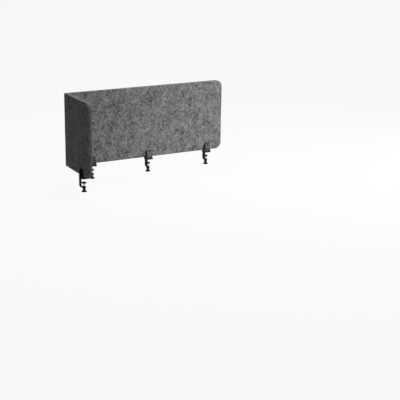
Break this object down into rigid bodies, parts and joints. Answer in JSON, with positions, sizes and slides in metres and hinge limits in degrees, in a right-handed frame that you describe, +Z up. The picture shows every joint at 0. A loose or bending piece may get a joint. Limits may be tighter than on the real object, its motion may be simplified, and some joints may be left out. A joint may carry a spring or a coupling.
{
  "type": "desk screen",
  "caption": "L-shaped acoustic felt screen clamped along the back and one side of a desk top, with knob-screw clamps under rounded felt boards.",
  "frame": {"origin": "on the plane of the desk top's surface, on the screw axis of the back board's middle clamp", "axes": "+X along the back board from the corner to its free end, -Y towards the user, +Z up"},
  "size_m": [1.219, 0.419, 0.6095],
  "materials": {
    "felt": "heathered grey pressed felt, matt",
    "clamp_metal": "black powder coat, fine texture",
    "moulded_black": "black moulded plastic, lightly textured",
    "steel": "bright zinc plate",
    "rubber": "matt black rubber"
  },
  "bodies": {
    "screen": {"back_board": "felt", "return_board": "felt", "corner_key_lower": "steel", "corner_key_middle": "steel", "corner_key_upper": "steel", "clamp_frame_left": "clamp_metal", "shoe_left": "moulded_black", "desk_pad_left": "rubber", "shoe_screws_left": "steel", "grip_plate_left": "steel", "grip_screws_left": "steel", "clamp_frame_middle": "clamp_metal", "shoe_middle": "moulded_black", "desk_pad_middle": "rubber", "shoe_screws_middle": "steel", "grip_plate_middle": "steel", "grip_screws_middle": "steel", "clamp_frame_right": "clamp_metal", "shoe_right": "moulded_black", "desk_pad_right": "rubber", "shoe_screws_right": "steel", "grip_plate_right": "steel", "grip_screws_right": "steel", "clamp_frame_return": "clamp_metal", "shoe_return": "moulded_black", "desk_pad_return": "rubber", "shoe_screws_return": "steel", "grip_plate_return": "steel", "grip_screws_return": "steel"},
    "foot_left": {"pressure_foot_left": "clamp_metal", "foot_pad_left": "rubber"},
    "screw_left": {"clamp_screw_left": "steel", "knob_left": "moulded_black"},
    "foot_middle": {"pressure_foot_middle": "clamp_metal", "foot_pad_middle": "rubber"},
    "screw_middle": {"clamp_screw_middle": "steel", "knob_middle": "moulded_black"},
    "foot_right": {"pressure_foot_right": "clamp_metal", "foot_pad_right": "rubber"},
    "screw_right": {"clamp_screw_right": "steel", "knob_right": "moulded_black"},
    "foot_return": {"pressure_foot_return": "clamp_metal", "foot_pad_return": "rubber"},
    "screw_return": {"clamp_screw_return": "steel", "knob_return": "moulded_black"}
  },
  "joints": [
    {"name": "foot_slide_left", "type": "slide", "parent": "screen", "child": "foot_left", "axis": [0, 0, 1], "range_m": [-0.015, 0.002]},
    {"name": "knob_turn_left", "type": "hinge", "parent": "foot_left", "child": "screw_left", "pos_m": [-0.428, 0, -0.06], "axis": [0, 0, 1], "range_deg": [-3601, 481]},
    {"name": "foot_slide_middle", "type": "slide", "parent": "screen", "child": "foot_middle", "axis": [0, 0, 1], "range_m": [-0.015, 0.002]},
    {"name": "knob_turn_middle", "type": "hinge", "parent": "foot_middle", "child": "screw_middle", "pos_m": [0, 0, -0.06], "axis": [0, 0, 1], "range_deg": [-3601, 481]},
    {"name": "foot_slide_right", "type": "slide", "parent": "screen", "child": "foot_right", "axis": [0, 0, 1], "range_m": [-0.015, 0.002]},
    {"name": "knob_turn_right", "type": "hinge", "parent": "foot_right", "child": "screw_right", "pos_m": [0.468, 0, -0.06], "axis": [0, 0, 1], "range_deg": [-3601, 481]},
    {"name": "foot_slide_return", "type": "slide", "parent": "screen", "child": "foot_return", "axis": [0, 0, 1], "range_m": [-0.015, 0.002]},
    {"name": "knob_turn_return", "type": "hinge", "parent": "foot_return", "child": "screw_return", "pos_m": [-0.602, -0.273, -0.06], "axis": [0, 0, 1], "range_deg": [-3601, 481]}
  ],
  "couplings": [
    {"joint": "knob_turn_left", "follows": "foot_slide_left", "rad_per_m": 4188.8},
    {"joint": "knob_turn_middle", "follows": "foot_slide_middle", "rad_per_m": 4188.8},
    {"joint": "knob_turn_right", "follows": "foot_slide_right", "rad_per_m": 4188.8},
    {"joint": "knob_turn_return", "follows": "foot_slide_return", "rad_per_m": 4188.8}
  ]
}
